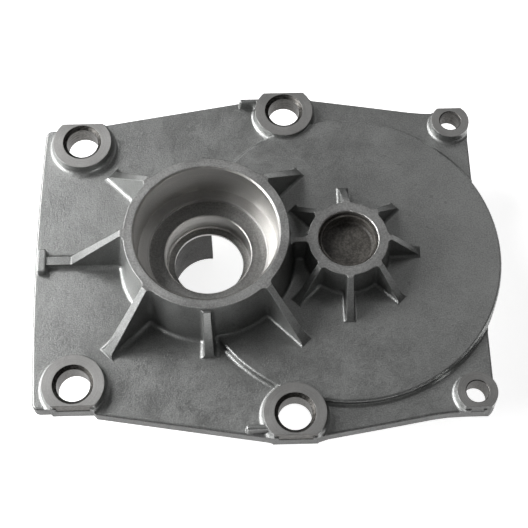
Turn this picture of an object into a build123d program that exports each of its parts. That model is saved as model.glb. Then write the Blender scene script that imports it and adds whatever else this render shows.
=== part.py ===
from build123d import *
from math import cos, hypot, radians, sin, tan
import os

os.makedirs("parts", exist_ok=True)

# Heights in mm above the mating face
plate_top = 6.8
disc_rise = 3.2
bolt_boss_rise = 5.2
hub_top = 25.9
rim_top = 35.6
disc_top = plate_top + disc_rise
bolt_boss_top = plate_top + bolt_boss_rise

# Big bearing boss on the origin
seat_r = 31.0
seat_floor = 15.2
rim_wall = 4.6
rim_chamfer = 0.8
boss_flare = 2.8
relief_step = 4.8
relief_depth = 2.3
seal_r = 18.9
seal_floor = 1.4
seal_lip = 3.5
seal_chamfer = 0.5
rim_r = seat_r + rim_wall
boss_foot_r = rim_r + boss_flare
relief_r = seat_r - relief_step
relief_floor = seat_floor - relief_depth
lip_r = seal_r - seal_lip

# Half collar hanging below the mating face
collar_gap = 1.8
collar_wall = 4.0
collar_depth = 29.0
collar_edge_x = 1.0
collar_in_r = lip_r + collar_gap
collar_out_r = collar_in_r + collar_wall

# Hub, a set gap away from the big boss
plug_r = 13.0
plug_seat = 17.5
plug_ledge = 2.0
hub_wall = 4.5
hub_flare = 1.4
hub_gap = 4.13
hub_chamfer = 0.4
hub_r = plug_r + hub_wall
hub_foot_r = hub_r + hub_flare
shaft_bore_r = plug_r - plug_ledge
hub_x = boss_foot_r + hub_gap + hub_foot_r

# Raised disc around the hub
disc_r = 69.8
disc_draft = 3.0
disc_edge_r = 1.3
disc_root_r = 1.8

# Ribs: crest widths, how far each foot lies from its wall, and soft roots
boss_rib_w = 2.8
hub_rib_w = 2.5
web_w = 2.4
rib_draft = 1.5
rib_tip = 1.5
rib_side = 8.0
diag_reach = 27.4
disc_reach = 24.0
side_reach = 11.4
side_drop = 1.6
west_reach = 25.4
hub_reach = 15.5
boss_root_r = 2.4
hub_root_r = 1.6

# Bolt bosses: centres, top radii, hole radii and distance of the outer flats
left_x = -57.88
left_y = 59.1
mid_x = 35.99
mid_y = 73.88
right_x = 113.47
right_y = 66.5
big_boss_r = 13.4
small_boss_r = 8.7
big_hole_r = 7.25
small_hole_r = 4.8
big_flat = 10.3
small_flat = 7.4
big_root_r = 2.2
small_root_r = 1.8
bolt_boss_draft = 3.0
countersink = 1.6
small_countersink = 0.3
under_chamfer = 1.5
left_flat = left_y + big_flat
mid_flat = mid_y + big_flat
right_flat = right_y + small_flat

# Flange outline
left_margin = 17.62
left_bulge = 2.1
left_drop = 0.9
right_margin = 8.23
flange_edge_r = 1.0
corner_r = 3.0
left_edge_x = left_x - left_margin
left_edge_y = left_flat - left_drop
right_edge_x = right_x + right_margin

# Hollows of the underside
recess_wall = 8.8
recess_top = 5.2
groove_in_wall = 3.9
groove_out_wall = 1.2
groove_top = 8.4
recess_r = disc_r - recess_wall
groove_in_r = seal_r + groove_in_wall
groove_out_r = rim_r - groove_out_wall

# Sealing plug
plug_height = 6.5
plug_wall = 1.5
plug_floor = 1.2
plug_lead = 0.8

# Low ridge that carries the west rib on to a cross bar at the flange edge
ridge_h = 2.6
bar_inset = 0.8
bar_w = 5.2
bar_l = 12.6
bar_h = 3.6
bar_edge_r = 0.7
bar_x = left_edge_x - left_bulge + bar_inset + bar_w / 2

# Lugs beside the middle bolt bosses
lug_reach = 21.6
lug_out = 5.9
lug_w = 4.0
lug_h = 4.8
lug_edge_r = 0.9
pad_draft = 4.0


def ring_points(sign):
    # Flange corners of one side, from west to east
    return [
        (left_edge_x, sign * left_edge_y),
        (left_x - 9.6, sign * left_edge_y),
        (left_x - 8.4, sign * left_flat),
        (left_x + 8.0, sign * left_flat),
        (left_x + 9.4, sign * (left_flat + 1.7)),
        (mid_x - 12.0, sign * (mid_flat - 1.0)),
        (mid_x - 8.5, sign * mid_flat),
        (mid_x + 8.5, sign * mid_flat),
        (mid_x + 14.0, sign * (mid_flat - 1.7)),
        (mid_x + 39.0, sign * (mid_flat - 5.8)),
        (mid_x + 59.0, sign * (mid_flat - 9.2)),
        (right_x - 12.0, sign * (right_flat + 0.3)),
        (right_x - 4.5, sign * right_flat),
        (right_x + 3.4, sign * right_flat),
        (right_x + 6.4, sign * (right_flat - 1.7)),
        (right_edge_x, sign * (right_y + 2.6)),
    ]


def root_section(foot_r, draft, root_r):
    # Hollow corner between the plate and a drafted wall, stopping short of level with the plate
    lean = radians(8)
    middle = radians(40)
    low = plate_top - root_r * (1 - cos(lean))
    wall_r = foot_r - (low + root_r) * tan(radians(draft))
    x = wall_r + root_r
    z = low + root_r
    with BuildSketch(Plane.XZ) as section:
        with BuildLine():
            Polyline(
                (x - root_r, z),
                (x - root_r - 1, z),
                (x - root_r - 1, plate_top - 1),
                (x - root_r * sin(lean), plate_top - 1),
                (x - root_r * sin(lean), plate_top),
            )
            ThreePointArc(
                (x - root_r * sin(lean), plate_top),
                (x - root_r * sin(middle), z - root_r * cos(middle)),
                (x - root_r, z),
            )
        make_face()
    return section.sketch


def across(centre_x, angle):
    # Upright plane square to a rib, with its own x across the rib and y upward
    turn = radians(angle)
    return Plane((centre_x, 0, 0), x_dir=(-sin(turn), cos(turn), 0), z_dir=(cos(turn), sin(turn), 0))


def along(centre_x, angle):
    # Upright plane through the middle of a rib, with its own x outward and y upward
    turn = radians(angle)
    return Plane((centre_x, 0, 0), x_dir=(cos(turn), sin(turn), 0), z_dir=(sin(turn), -cos(turn), 0))


def rib_section(width, height):
    foot = width / 2 + height * tan(radians(rib_draft))
    Polygon((-foot, 0), (foot, 0), (width / 2, height), (-width / 2, height), align=None)


def crest_cut(start_r, start_z, foot_r, foot_z):
    # What lies above a crest that falls from start to foot
    ceiling = rim_top + 2
    Polygon((start_r, start_z), (foot_r, foot_z), (foot_r, ceiling), (start_r, ceiling), align=None)


bolt_bosses = (
    (left_x, left_y, big_boss_r, left_flat, big_root_r),
    (mid_x, mid_y, big_boss_r, mid_flat, big_root_r),
    (right_x, right_y, small_boss_r, right_flat, small_root_r),
)
bolt_holes = (
    (left_x, left_y, big_hole_r, countersink),
    (mid_x, mid_y, big_hole_r, countersink),
    (right_x, right_y, small_hole_r, small_countersink),
)
boss_ribs = (
    (45, rim_r + disc_reach, rim_top, disc_top),
    (90, rim_r + side_reach, rim_top - side_drop, plate_top),
    (135, rim_r + diag_reach, rim_top, plate_top),
    (225, rim_r + diag_reach, rim_top, plate_top),
    (270, rim_r + side_reach, rim_top - side_drop, plate_top),
    (315, rim_r + disc_reach, rim_top, disc_top),
)
hub_ribs = (0, 45, 90, 135, 225, 270, 315)

with BuildPart() as cover:
    # Flange plate
    with BuildSketch() as outline:
        with BuildLine():
            upper = ring_points(1)
            lower = ring_points(-1)
            Polyline(*upper, *reversed(lower))
            ThreePointArc(lower[0], (left_edge_x - left_bulge, 0), upper[0])
        make_face()
        fillet(outline.vertices().filter_by(lambda v: v.X < left_edge_x + 0.1), corner_r)
    extrude(amount=plate_top)
    fillet(cover.faces().sort_by(Axis.Z)[-1].outer_wire().edges(), flange_edge_r)

    # Big boss with tall ribs on the plate, and the web that runs to the hub
    with BuildSketch(Plane.XZ):
        Polygon(
            (0, 0),
            (boss_foot_r, 0),
            (boss_foot_r, plate_top),
            (rim_r, rim_top),
            (0, rim_top),
            align=None,
        )
    revolve(axis=Axis.Z)
    for angle, foot_r, top, foot_z in boss_ribs:
        with BuildSketch(across(0, angle)):
            rib_section(boss_rib_w, top)
        extrude(amount=foot_r)
    with BuildSketch(across(0, 180)):
        rib_section(boss_rib_w, rim_top)
    extrude(amount=-bar_x)
    with BuildSketch(across(0, 0)):
        rib_section(web_w, hub_top)
    extrude(amount=hub_x)

    # Soft roots where the boss and its ribs rise from the plate, and where they meet
    roots = []
    for edge in cover.edges():
        mid = edge @ 0.5
        rib_end = edge.geom_type == GeomType.LINE and edge.length < boss_rib_w + 2
        crest_end = edge.geom_type == GeomType.CIRCLE and mid.Z > disc_top
        above_plate = plate_top - 0.1 < mid.Z < rim_top - 0.1
        near = hypot(mid.X, mid.Y) < rim_r + diag_reach
        if near and above_plate and not rib_end and not crest_end and edge.is_interior:
            roots.append(edge)
    fillet(roots, boss_root_r)

    # Raised disc with a rounded edge
    with BuildPart(mode=Mode.PRIVATE) as disc:
        with BuildSketch():
            with Locations((hub_x, 0)):
                Circle(disc_r)
        extrude(amount=disc_top, taper=disc_draft)
        fillet(disc.faces().sort_by(Axis.Z)[-1].edges(), disc_edge_r)
    add(disc.part)

    # Hub with tall ribs on the disc
    with BuildSketch(Plane.XZ):
        Polygon(
            (hub_x, 0),
            (hub_x + hub_foot_r, 0),
            (hub_x + hub_foot_r, disc_top),
            (hub_x + hub_r, hub_top),
            (hub_x, hub_top),
            align=None,
        )
    revolve(axis=Axis((hub_x, 0, 0), (0, 0, 1)))
    for angle in hub_ribs:
        with BuildSketch(across(hub_x, angle)):
            rib_section(hub_rib_w, hub_top)
        extrude(amount=hub_r + hub_reach)

    # Soft roots on the disc
    roots = []
    for edge in cover.edges():
        mid = edge @ 0.5
        rib_end = edge.geom_type == GeomType.LINE and edge.length < boss_rib_w + 2
        on_disc = disc_top - 0.05 < mid.Z < disc_top + 0.05
        by_hub = disc_top < mid.Z < hub_top - 0.1 and hypot(mid.X - hub_x, mid.Y) < hub_foot_r + 1
        inside = hypot(mid.X - hub_x, mid.Y) < disc_r - 2
        if inside and (on_disc or by_hub) and not rib_end and edge.is_interior:
            roots.append(edge)
    fillet(roots, hub_root_r)

    # Crests falling from the rim and from the hub to their feet
    for angle, foot_r, top, foot_z in boss_ribs:
        with BuildSketch(along(0, angle)):
            crest_cut(rim_r + rib_tip, top, foot_r, foot_z)
        extrude(amount=rib_side, both=True, mode=Mode.SUBTRACT)
    for angle in hub_ribs:
        with BuildSketch(along(hub_x, angle)):
            crest_cut(hub_r + rib_tip, hub_top, hub_r + hub_reach, disc_top)
        extrude(amount=rib_side / 2, both=True, mode=Mode.SUBTRACT)

    # West crest, which levels out into a low ridge before the flange edge
    with BuildSketch(along(0, 180)):
        crest_cut(rim_r + rib_tip, rim_top, rim_r + west_reach, plate_top + ridge_h)
        crest_cut(rim_r + west_reach, plate_top + ridge_h, -bar_x, plate_top + ridge_h)
    extrude(amount=rib_side, both=True, mode=Mode.SUBTRACT)

    # Bolt bosses with their outer flats
    for x, y, r, flat, root in bolt_bosses:
        foot = r + bolt_boss_top * tan(radians(bolt_boss_draft))
        for sign in (1, -1):
            with BuildSketch():
                with Locations((x, sign * y)):
                    Circle(foot)
                with Locations((x, sign * (flat + 20))):
                    Rectangle(80, 40, mode=Mode.SUBTRACT)
            extrude(amount=bolt_boss_top, taper=bolt_boss_draft)

    # Soft roots of the bolt bosses and of the disc, kept inside the flange outline
    with BuildPart(mode=Mode.PRIVATE) as soft_roots:
        ring = root_section(disc_r, disc_draft, disc_root_r)
        add(ring.moved(Location((hub_x, 0, 0))))
        revolve(axis=Axis((hub_x, 0, 0), (0, 0, 1)))
        for x, y, r, flat, root in bolt_bosses:
            foot = r + bolt_boss_top * tan(radians(bolt_boss_draft))
            for sign in (1, -1):
                add(root_section(foot, bolt_boss_draft, root).moved(Location((x, sign * y, 0))))
                revolve(axis=Axis((x, sign * y, 0), (0, 0, 1)))
        add(outline.sketch)
        extrude(amount=bolt_boss_top, mode=Mode.INTERSECT)
    add(soft_roots.part)

    # Cross bar at the end of the ridge
    with BuildPart(mode=Mode.PRIVATE) as bar:
        with BuildSketch():
            with Locations((bar_x, 0)):
                RectangleRounded(bar_w, bar_l, bar_w * 0.3)
        extrude(amount=plate_top + bar_h, taper=pad_draft)
        fillet(bar.faces().sort_by(Axis.Z)[-1].edges(), bar_edge_r)
    add(bar.part)

    # Short lugs beside the middle bolt bosses, with a round end
    for sign in (1, -1):
        with BuildPart(mode=Mode.PRIVATE) as lug:
            with BuildSketch():
                with Locations((mid_x - lug_reach / 2, sign * (mid_y + lug_out))):
                    SlotOverall(lug_reach, lug_w)
            extrude(amount=plate_top + lug_h, taper=pad_draft)
            fillet(lug.faces().sort_by(Axis.Z)[-1].edges(), lug_edge_r)
        add(lug.part)

    # Hollows of the underside, with the seal housing left standing
    with BuildSketch():
        with Locations((hub_x, 0)):
            Circle(recess_r)
        Circle(groove_in_r, mode=Mode.SUBTRACT)
    extrude(amount=recess_top, mode=Mode.SUBTRACT)
    with BuildSketch():
        Circle(groove_out_r)
        Circle(groove_in_r, mode=Mode.SUBTRACT)
    extrude(amount=groove_top, mode=Mode.SUBTRACT)

    # Half collar below the seal housing
    with BuildSketch(Plane.XY.offset(1)):
        Circle(collar_out_r)
        Circle(collar_in_r, mode=Mode.SUBTRACT)
        with Locations((collar_edge_x + 50, 0)):
            Rectangle(100, 100, mode=Mode.SUBTRACT)
    extrude(amount=-collar_depth - 1)

    # Stepped bore of the big boss
    with BuildSketch(Plane.XZ):
        Polygon(
            (0, -1),
            (lip_r, -1),
            (lip_r, seal_floor),
            (seal_r - seal_chamfer, seal_floor),
            (seal_r, seal_floor + seal_chamfer),
            (seal_r, relief_floor - seal_chamfer),
            (seal_r + seal_chamfer, relief_floor),
            (relief_r, relief_floor),
            (relief_r, seat_floor),
            (seat_r, seat_floor),
            (seat_r, rim_top - rim_chamfer),
            (seat_r + rim_chamfer, rim_top),
            (seat_r + rim_chamfer, rim_top + 2),
            (0, rim_top + 2),
            align=None,
        )
    revolve(axis=Axis.Z, mode=Mode.SUBTRACT)

    # Bore through the hub, with the seat of the sealing plug
    with BuildSketch(Plane.XZ):
        Polygon(
            (hub_x, -1),
            (hub_x + shaft_bore_r, -1),
            (hub_x + shaft_bore_r, plug_seat),
            (hub_x + plug_r, plug_seat),
            (hub_x + plug_r, hub_top - hub_chamfer),
            (hub_x + plug_r + hub_chamfer, hub_top),
            (hub_x + plug_r + hub_chamfer, hub_top + 2),
            (hub_x, hub_top + 2),
            align=None,
        )
    revolve(axis=Axis((hub_x, 0, 0), (0, 0, 1)), mode=Mode.SUBTRACT)

    # Bolt holes, countersunk above and eased below
    for x, y, r, sink in bolt_holes:
        for sign in (1, -1):
            with BuildSketch(Plane.XZ.offset(-sign * y)):
                Polygon(
                    (x, -1),
                    (x + r + under_chamfer, -1),
                    (x + r + under_chamfer, 0),
                    (x + r, under_chamfer),
                    (x + r, bolt_boss_top - sink),
                    (x + r + sink, bolt_boss_top),
                    (x + r + sink, bolt_boss_top + 1),
                    (x, bolt_boss_top + 1),
                    align=None,
                )
            revolve(axis=Axis((x, sign * y, 0), (0, 0, 1)), mode=Mode.SUBTRACT)

cover.part.label = "cover"
export_step(cover.part, "parts/cover.step")


with BuildPart() as bore_plug:
    # Pressed cup, open side outward, eased where it enters the bore
    cup_top = plug_seat + plug_height
    with BuildSketch(Plane.XZ):
        Polygon(
            (hub_x, plug_seat),
            (hub_x + plug_r - plug_lead, plug_seat),
            (hub_x + plug_r, plug_seat + plug_lead),
            (hub_x + plug_r, cup_top - plug_lead),
            (hub_x + plug_r - plug_lead, cup_top),
            (hub_x + plug_r - plug_wall, cup_top),
            (hub_x + plug_r - plug_wall, plug_seat + plug_floor + plug_lead),
            (hub_x + plug_r - plug_wall - plug_lead, plug_seat + plug_floor),
            (hub_x, plug_seat + plug_floor),
            align=None,
        )
    revolve(axis=Axis((hub_x, 0, 0), (0, 0, 1)))

bore_plug.part.label = "bore_plug"
export_step(bore_plug.part, "parts/bore_plug.step")
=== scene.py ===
from math import radians

import bpy
import numpy as np
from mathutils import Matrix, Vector


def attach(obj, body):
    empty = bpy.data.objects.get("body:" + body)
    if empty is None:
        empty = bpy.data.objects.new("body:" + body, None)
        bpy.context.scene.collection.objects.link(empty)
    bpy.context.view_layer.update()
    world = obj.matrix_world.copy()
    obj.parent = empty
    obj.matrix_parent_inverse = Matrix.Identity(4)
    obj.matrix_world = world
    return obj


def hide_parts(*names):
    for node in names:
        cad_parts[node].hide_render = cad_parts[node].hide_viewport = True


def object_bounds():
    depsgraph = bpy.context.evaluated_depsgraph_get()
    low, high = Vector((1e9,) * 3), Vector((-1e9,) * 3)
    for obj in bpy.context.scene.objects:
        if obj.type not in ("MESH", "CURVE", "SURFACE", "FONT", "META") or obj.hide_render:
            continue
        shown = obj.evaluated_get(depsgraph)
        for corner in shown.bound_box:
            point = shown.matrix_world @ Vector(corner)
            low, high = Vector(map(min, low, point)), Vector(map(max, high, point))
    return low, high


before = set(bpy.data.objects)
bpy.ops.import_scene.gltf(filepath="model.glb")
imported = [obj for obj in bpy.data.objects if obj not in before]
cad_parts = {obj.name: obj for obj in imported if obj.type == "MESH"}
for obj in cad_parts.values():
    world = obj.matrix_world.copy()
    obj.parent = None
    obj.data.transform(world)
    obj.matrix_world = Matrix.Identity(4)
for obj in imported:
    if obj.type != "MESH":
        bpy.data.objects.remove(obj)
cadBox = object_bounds()


class Sock:  # a value in a shader: an operator on it adds a Math node
    def __init__(self, shader, out):
        self.shader = shader
        self.out = out

    def math(self, operation, first, second=None):
        values = {0: first} if second is None else {0: first, 1: second}
        return self.shader.node("ShaderNodeMath", {"operation": operation}, values)

    def __add__(self, other):
        return self.math("ADD", self, other)

    def __radd__(self, other):
        return self.math("ADD", other, self)

    def __sub__(self, other):
        return self.math("SUBTRACT", self, other)

    def __rsub__(self, other):
        return self.math("SUBTRACT", other, self)

    def __mul__(self, other):
        return self.math("MULTIPLY", self, other)

    def __rmul__(self, other):
        return self.math("MULTIPLY", other, self)

    def __truediv__(self, other):
        return self.math("DIVIDE", self, other)

    def least(self, other):
        return self.math("MINIMUM", self, other)

    def most(self, other):
        return self.math("MAXIMUM", self, other)

    def root(self):
        return self.math("SQRT", self)

    def size(self):
        return self.math("ABSOLUTE", self)

    def ramp(self, low, high, toLow=0.0, toHigh=1.0):  # a smooth step between two levels
        smooth = {"interpolation_type": "SMOOTHSTEP"}
        ends = {"From Min": low, "From Max": high, "To Min": toLow, "To Max": toHigh}
        return self.shader.node("ShaderNodeMapRange", smooth, {"Value": self, **ends})


bevelSamples = 6


class Shader:
    def __init__(self, name, metallic):
        self.material = bpy.data.materials.new(name)
        self.material.use_nodes = True
        self.tree = self.material.node_tree
        self.bsdf = self.tree.nodes["Principled BSDF"]
        self.bsdf.inputs["Metallic"].default_value = metallic
        self.place = self.node("ShaderNodeTexCoord", out="Object")

    def node(self, kind, settings=None, sockets=None, out=0):
        made = self.tree.nodes.new(kind)
        for key, value in (settings or {}).items():
            setattr(made, key, value)
        for key, value in (sockets or {}).items():
            if isinstance(value, Sock):
                self.tree.links.new(value.out, made.inputs[key])
            else:
                made.inputs[key].default_value = value
        return Sock(self, made.outputs[out])

    def feed(self, key, value):
        self.tree.links.new(value.out, self.bsdf.inputs[key])

    def axes(self):
        split = {"Vector": self.place}
        return [self.node("ShaderNodeSeparateXYZ", {}, split, axis) for axis in "XYZ"]

    def noise(self, scale, detail, rough, place=None):
        values = {"Scale": scale, "Detail": detail, "Roughness": rough}
        place = place or self.place
        return self.node("ShaderNodeTexNoise", {}, {"Vector": place, **values}, "Fac")

    def rings(self, radius, height, pitch, grain):  # tool marks change with radius and height
        steps = {"X": radius / pitch, "Y": height / pitch}
        return self.noise(*grain, self.node("ShaderNodeCombineXYZ", {}, steps))

    def mixed(self, fac, dark, light):
        ends = {"Factor": fac, "A": (*dark, 1), "B": (*light, 1)}
        return self.node("ShaderNodeMix", {"data_type": "RGBA"}, ends, "Result")

    def relief(self, height, depth, edge):  # bump on top of softened edges
        samples = {"samples": bevelSamples}
        soft = self.node("ShaderNodeBevel", samples, {"Radius": edge}, "Normal")
        values = {"Height": height, "Distance": depth, "Normal": soft}
        self.feed("Normal", self.node("ShaderNodeBump", {}, values, "Normal"))


def blend(fields, shares):  # noises added up, each by its share
    return sum(fields[key] * share for key, share in shares.items())


def tinted(tint, tone):
    return [tone * part for part in tint]


castSkin = {  # each noise is given as scale, detail and roughness
    "noises": {
        "sand": (1800, 2.0, 0.7),
        "pits": (420, 3.0, 0.6),
        "cloud": (26, 4.0, 0.6),
        "stain": (75, 3.0, 0.55),
        "speck": (300, 1.0, 0.5),
        "grit": (1600, 1.0, 0.5),
    },
    "tone": {"cloud": 0.2, "stain": 0.12, "pits": 0.13, "grit": 0.55},
    "toneStep": (0.36, 0.64),
    "speckStep": (0.72, 0.76),
    "gloss": {"stain": 0.6, "pits": 0.4},
    "glossStep": (0.35, 0.65),
    "height": {"sand": 0.5, "pits": 0.3, "stain": 0.4},
}


def castFinish(name, look):
    s = Shader(name, look["metallic"])
    fields = {key: s.noise(*values) for key, values in castSkin["noises"].items()}
    speck = fields["speck"].ramp(*castSkin["speckStep"])
    mix = blend(fields, castSkin["tone"]).ramp(*castSkin["toneStep"]) - speck
    dark = tinted(look["tint"], look["tone"] - look["swing"])
    light = tinted(look["tint"], look["tone"] + look["swing"])
    gloss = blend(fields, castSkin["gloss"])
    s.feed("Base Color", s.mixed(mix, dark, light))
    s.feed("Roughness", gloss.ramp(*castSkin["glossStep"], *look["rough"]))
    s.relief(blend(fields, castSkin["height"]), look["grain"], look["edge"])
    return s.material


castLook = {
    "tone": 0.355,
    "swing": 0.06,
    "tint": (0.985, 1.0, 0.985),
    "metallic": 0.9,
    "rough": (0.34, 0.45),
    "grain": 0.0002,
    "edge": 0.0005,
}
# painted shade: a darker, less metallic copy of the cast alloy for the flange's outer side
# walls and side flats, so that they read as shaded
shadedSideLook = {
    "tone": 0.13,
    "swing": 0.03,
    "tint": (0.99, 1.0, 0.98),
    "metallic": 0.8,
    "rough": (0.44, 0.58),
    "grain": 0.0002,
    "edge": 0.0005,
}
# painted shade: a near-black, warm copy of the cast alloy inside the collar, where the hollow
# lies in shade
collarShadeLook = {
    "tone": 0.06,
    "swing": 0.015,
    "tint": (1.0, 0.97, 0.93),
    "metallic": 0.6,
    "rough": (0.46, 0.60),
    "grain": 0.00022,
    "edge": 0.0005,
}

turnedSkin = {  # each noise is given as scale, detail and roughness
    "rings": (1.0, 2.0, 0.6),
    "fleck": (1300, 2.0, 0.7),
    "cloud": (70, 3.0, 0.55),
    "cloudShare": 0.2,
    "toneStep": (0.38, 0.64),
    "gloss": {"rings": 0.5, "cloud": 0.5},
    "glossStep": (0.35, 0.65),
}


def turnedFinish(name, look, centres):  # rings run round the nearest of the centres
    s = Shader(name, look["metallic"])
    x, y, z = s.axes()
    side = y.size()
    radius = None
    for centreX, centreY in centres:
        across, along = x - centreX, side - centreY
        reach = (across * across + along * along).root()
        radius = reach if radius is None else radius.least(reach)
    fields = {
        "rings": s.rings(radius, z, look["pitch"], turnedSkin["rings"]),
        "fleck": s.noise(*turnedSkin["fleck"]),
        "cloud": s.noise(*turnedSkin["cloud"]),
    }
    part, cloudShare = look["fleck"], turnedSkin["cloudShare"]
    tone = {"rings": 1 - cloudShare - part, "fleck": part, "cloud": cloudShare}
    mix = blend(fields, tone).ramp(*turnedSkin["toneStep"])
    dark, light = (tinted(look["tint"], look[key]) for key in ("dark", "light"))
    gloss = blend(fields, turnedSkin["gloss"])
    s.feed("Base Color", s.mixed(mix, dark, light))
    s.feed("Roughness", gloss.ramp(*turnedSkin["glossStep"], *look["rough"]))
    s.relief(blend(fields, {"rings": 1 - part, "fleck": part}), look["depth"], look["edge"])
    return s.material


topLook = {
    "dark": 0.30,
    "light": 0.47,
    "tint": (1.0, 1.0, 0.985),
    "metallic": 0.88,
    "rough": (0.38, 0.50),
    "pitch": 0.0009,
    "depth": 0.00007,
    "fleck": 0.6,
    "edge": 0.0005,
}
spotLook = {
    "dark": 0.30,
    "light": 0.42,
    "tint": (1.0, 0.99, 0.97),
    "metallic": 0.85,
    "rough": (0.40, 0.52),
    "pitch": 0.00025,
    "depth": 0.0001,
    "fleck": 0.2,
    "edge": 0.0003,
}
boreLook = {
    "dark": 0.50,
    "light": 0.66,
    "tint": (1.0, 0.985, 0.955),
    "metallic": 0.95,
    "rough": (0.28, 0.36),
    "pitch": 0.0002,
    "depth": 0.0002,
    "fleck": 0.15,
    "edge": 0.0004,
}
floorLook = {
    "dark": 0.32,
    "light": 0.50,
    "tint": (1.0, 0.99, 0.965),
    "metallic": 0.92,
    "rough": (0.30, 0.40),
    "pitch": 0.0006,
    "depth": 0.00008,
    "fleck": 0.55,
    "edge": 0.0004,
}
# painted shade: near-black, brownish colour for the bolt hole walls and the boss flats beside
# them, which lie in shade
holeShadeLook = {
    "dark": 0.045,
    "light": 0.15,
    "tint": (1.0, 0.96, 0.90),
    "metallic": 0.95,
    "rough": (0.40, 0.52),
    "pitch": 0.0009,
    "depth": 0.00008,
    "fleck": 0.2,
    "edge": 0.0002,
}


plugLook = {
    "noises": {"fine": (1100, 2.0, 0.7), "cloud": (120, 3.0, 0.6)},
    "shares": {"fine": 0.6, "cloud": 0.4},
    "dark": (0.052, 0.048, 0.043),
    "light": (0.130, 0.122, 0.110),
    "toneStep": (0.40, 0.62),
    "rough": (0.42, 0.62),
    "glossStep": (0.35, 0.65),
    "grain": 0.00010,
    "edge": 0.0003,
}


def rubberFinish(name, look):
    s = Shader(name, 0.0)
    fields = {key: s.noise(*values) for key, values in look["noises"].items()}
    mix = blend(fields, look["shares"])
    s.feed("Base Color", s.mixed(mix.ramp(*look["toneStep"]), look["dark"], look["light"]))
    s.feed("Roughness", fields["cloud"].ramp(*look["glossStep"], *look["rough"]))
    s.relief(mix, look["grain"], look["edge"])
    return s.material


smoothing = {"merge": 1e-6, "sharp": 26, "weight": 90}


def copied(node, name):  # the node's own mesh, merged and shaded smooth up to its edges
    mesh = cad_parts[node].data.copy()
    mesh.name = name
    piece = bpy.data.objects.new(name, mesh)
    bpy.context.scene.collection.objects.link(piece)
    bpy.ops.object.select_all(action="DESELECT")
    piece.select_set(True)
    bpy.context.view_layer.objects.active = piece
    if mesh.has_custom_normals:
        bpy.ops.mesh.customdata_custom_splitnormals_clear()
    bpy.ops.object.mode_set(mode="EDIT")
    bpy.ops.mesh.select_all(action="SELECT")
    bpy.ops.mesh.remove_doubles(threshold=smoothing["merge"])
    bpy.ops.object.mode_set(mode="OBJECT")
    mesh.shade_smooth()
    mesh.set_sharp_from_angle(angle=radians(smoothing["sharp"]))
    even = piece.modifiers.new("even", "WEIGHTED_NORMAL")
    even.keep_sharp = True
    even.weight = smoothing["weight"]
    bpy.ops.object.modifier_apply(modifier=even.name)
    mesh.materials.clear()
    return piece


def faceTable(mesh):  # each face's centre and normal
    count = len(mesh.polygons)
    centre = np.zeros(count * 3)
    normal = np.zeros(count * 3)
    mesh.polygons.foreach_get("center", centre)
    mesh.polygons.foreach_get("normal", normal)
    return centre.reshape(-1, 3), normal.reshape(-1, 3)


cover = {  # where the machined surfaces are, in metres
    "middleX": 0.027,
    "plateTop": 0.0068,
    "flatY": 0.069,
    "hubX": 0.06143,
    "seatR": 0.031,
    "seatChamfer": 0.001,
    "reliefR": 0.0262,
    "collarR": 0.020,
    "bossTop": 0.0356,
    "hubTop": 0.0259,
    "hubR": 0.024,
    "hubBoreR": 0.0134,
    "hubFloor": 0.0052,
    "boltTop": 0.012,
    "boltHoles": [  # x, y and the radius of the spot face
        (-0.05788, 0.0591, 0.0134),
        (0.03599, 0.07388, 0.0134),
        (0.11347, 0.0665, 0.0087),
    ],
    "spotMargin": 0.002,
    "holeMargin": 0.003,
    "slack": 0.0002,
    "square": 0.95,  # a face this square to an axis counts as flat
    "steep": 0.8,
}


def coverFinishes():
    bossAxis, hubAxis = (0, 0), (cover["hubX"], 0)
    holes = [(holeX, holeY) for holeX, holeY, faceR in cover["boltHoles"]]
    return {
        "cast": castFinish("castAlloy", castLook),
        "bore": turnedFinish("turnedBore", boreLook, [bossAxis]),
        "top": turnedFinish("milledTop", topLook, [bossAxis, hubAxis]),
        "spot": turnedFinish("spotFace", spotLook, holes),
        # painted shade: near-black colour for the shaded bolt holes
        "hole": turnedFinish("drilledHoleShade", holeShadeLook, [bossAxis]),
        # painted shade: near-black cast copy for the collar's inside
        "collar": castFinish("collarInsideShade", collarShadeLook),
        # painted shade: darker cast copy for the flange sides
        "edge": castFinish("castSideShade", shadedSideLook),
        "floor": turnedFinish("boreFloor", floorLook, [bossAxis, hubAxis]),
    }


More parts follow.
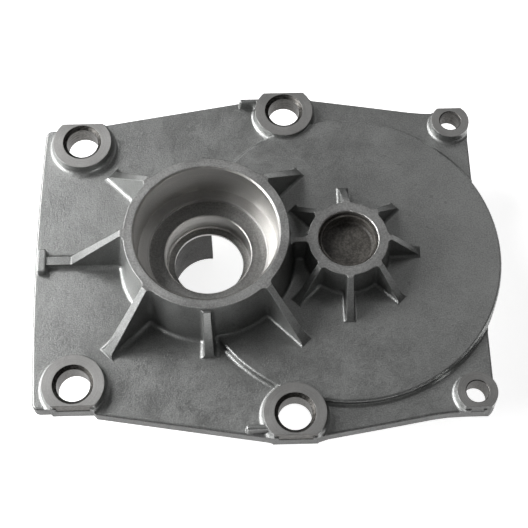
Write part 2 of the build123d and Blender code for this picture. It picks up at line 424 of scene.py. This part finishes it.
def coverKinds(mesh, slot):  # the finish of each face, by its place and its normal
    centre, normal = faceTable(mesh)
    x, y, z = centre.T
    toX, toY, toZ = normal.T
    slack = cover["slack"]
    radial = np.hypot(x, y)
    fromHub = np.hypot(x - cover["hubX"], y)
    up = toZ > cover["square"]
    above = z > -slack
    outside = (toX * (x - cover["middleX"]) + toY * y) > 0
    inward = (toX * x + toY * y) < 0
    steep = np.abs(toZ) < cover["steep"]
    sideFlat = (np.abs(toY) > cover["square"]) & (np.abs(y) > cover["flatY"])
    onHubTop = np.abs(z - cover["hubTop"]) < slack
    onBoltTop = np.abs(z - cover["boltTop"]) < slack
    kind = np.full(len(centre), slot["cast"])
    # painted shade: the flange's outer side walls and the boss side flats take the darker
    # cast copy
    kind[outside & steep & above & (z < cover["plateTop"] - slack)] = slot["edge"]
    kind[outside & sideFlat] = slot["edge"]
    kind[(radial < cover["seatR"] + cover["seatChamfer"]) & above] = slot["bore"]
    kind[up & (radial < cover["reliefR"] + slack) & above] = slot["floor"]
    kind[up & (z > cover["bossTop"] - slack) & (radial > cover["seatR"])] = slot["top"]
    kind[(fromHub < cover["hubBoreR"]) & (z > cover["hubFloor"])] = slot["bore"]
    kind[up & onHubTop & (fromHub < cover["hubR"])] = slot["top"]
    kind[(toZ < -cover["square"]) & (np.abs(z) < slack)] = slot["top"]  # joint face
    for holeX, holeY, faceR in cover["boltHoles"]:
        reach = np.hypot(x - holeX, np.abs(y) - holeY)
        # painted shade: faces inside the bolt holes take the near-black hole colour
        inHole = (reach < faceR - cover["holeMargin"]) & (z < cover["boltTop"])
        kind[up & onBoltTop & (reach < faceR + cover["spotMargin"])] = slot["spot"]
        kind[inHole & ~up] = slot["hole"]
    # painted shade: the collar's inner wall takes the near-black cast copy
    kind[inward & (radial < cover["collarR"]) & (z < -slack)] = slot["collar"]
    return kind


def dressCover():
    piece = copied("cover", "coverSkin")
    mesh = piece.data
    finishes = coverFinishes()
    for material in finishes.values():
        mesh.materials.append(material)
    slot = {name: number for number, name in enumerate(finishes)}
    mesh.polygons.foreach_set("material_index", coverKinds(mesh, slot))
    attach(piece, "root")
    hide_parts("cover")
    print("cover dressed", len(mesh.polygons), "faces")


def dressPlug():
    piece = copied("bore_plug", "plugSkin")
    piece.data.materials.append(rubberFinish("coatedPlug", plugLook))
    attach(piece, "root")
    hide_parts("bore_plug")
    print("plug dressed")


stage = {
    "half": 3.0,
    "gap": 0.0002,
    "tone": 0.85,
    "glow": 0.82,
    "rough": 0.9,
    "rays": ("Camera", "Glossy", "Transmission"),
}


def makeStage():
    half, tone = stage["half"], stage["tone"]
    low = cadBox[0][2] - stage["gap"]
    mesh = bpy.data.meshes.new("floor")
    corners = [(-half, -half, low), (half, -half, low), (half, half, low), (-half, half, low)]
    mesh.from_pydata(corners, [], [(0, 1, 2, 3)])
    floor = bpy.data.objects.new("floor", mesh)
    bpy.context.scene.collection.objects.link(floor)
    s = Shader("paleFloor", 0.0)
    s.bsdf.inputs["Roughness"].default_value = stage["rough"]
    s.bsdf.inputs["Base Color"].default_value = (tone, tone, tone, 1)
    s.bsdf.inputs["Emission Color"].default_value = (1, 1, 1, 1)
    rays = [s.node("ShaderNodeLightPath", out=f"Is {ray} Ray") for ray in stage["rays"]]
    s.feed("Emission Strength", rays[0].most(rays[1]).most(rays[2]) * stage["glow"])
    mesh.materials.append(s.material)
    print("stage made")


lights = {
    "windowHigh": {
        "at": (-0.84, 0.66, 0.96),
        "to": (0.03, 0, 0),
        "size": (0.6, 0.6),
        "power": 11,
    },
    "windowLow": {
        "at": (-1.15, -0.08, 0.62),
        "to": (0, 0, 0.01),
        "size": (0.9, 0.4),
        "power": 20,
    },
    "eastFill": {
        "at": (0.50, 0.50, 0.85),
        "to": (0.05, 0, 0),
        "size": (0.5, 0.5),
        "power": 0.6,
    },
}
room = {"level": 0.07}


def makeLights():
    for name, s in lights.items():
        data = bpy.data.lights.new(name, "AREA")
        data.shape = "RECTANGLE"
        data.size, data.size_y = s["size"]
        data.energy = s["power"]
        lamp = bpy.data.objects.new(name, data)
        lamp.location = s["at"]
        aim = Vector(s["to"]) - Vector(s["at"])
        lamp.rotation_euler = aim.to_track_quat("-Z", "Y").to_euler()
        bpy.context.scene.collection.objects.link(lamp)
    world = bpy.data.worlds.new("room")
    world.use_nodes = True
    back = world.node_tree.nodes["Background"]
    back.inputs["Color"].default_value = (1, 1, 1, 1)
    back.inputs["Strength"].default_value = room["level"]
    bpy.context.scene.world = world
    print("lights made")


view = {
    "lens": 85.69,
    "sensor": 36,
    "near": 0.01,
    "at": (0.016609, -0.237733, 0.516844),
    "turn": (0.43199419, -0.0036586, -0.02652545),
}


def makeCamera():
    data = bpy.data.cameras.new("view")
    data.sensor_width = view["sensor"]
    data.lens = view["lens"]
    data.clip_start = view["near"]
    camera = bpy.data.objects.new("view", data)
    camera.location = view["at"]
    camera.rotation_euler = view["turn"]
    bpy.context.scene.collection.objects.link(camera)
    bpy.context.scene.camera = camera


bpy.context.scene.view_settings.view_transform = "Standard"
makeCamera()
makeStage()
makeLights()
dressCover()
dressPlug()
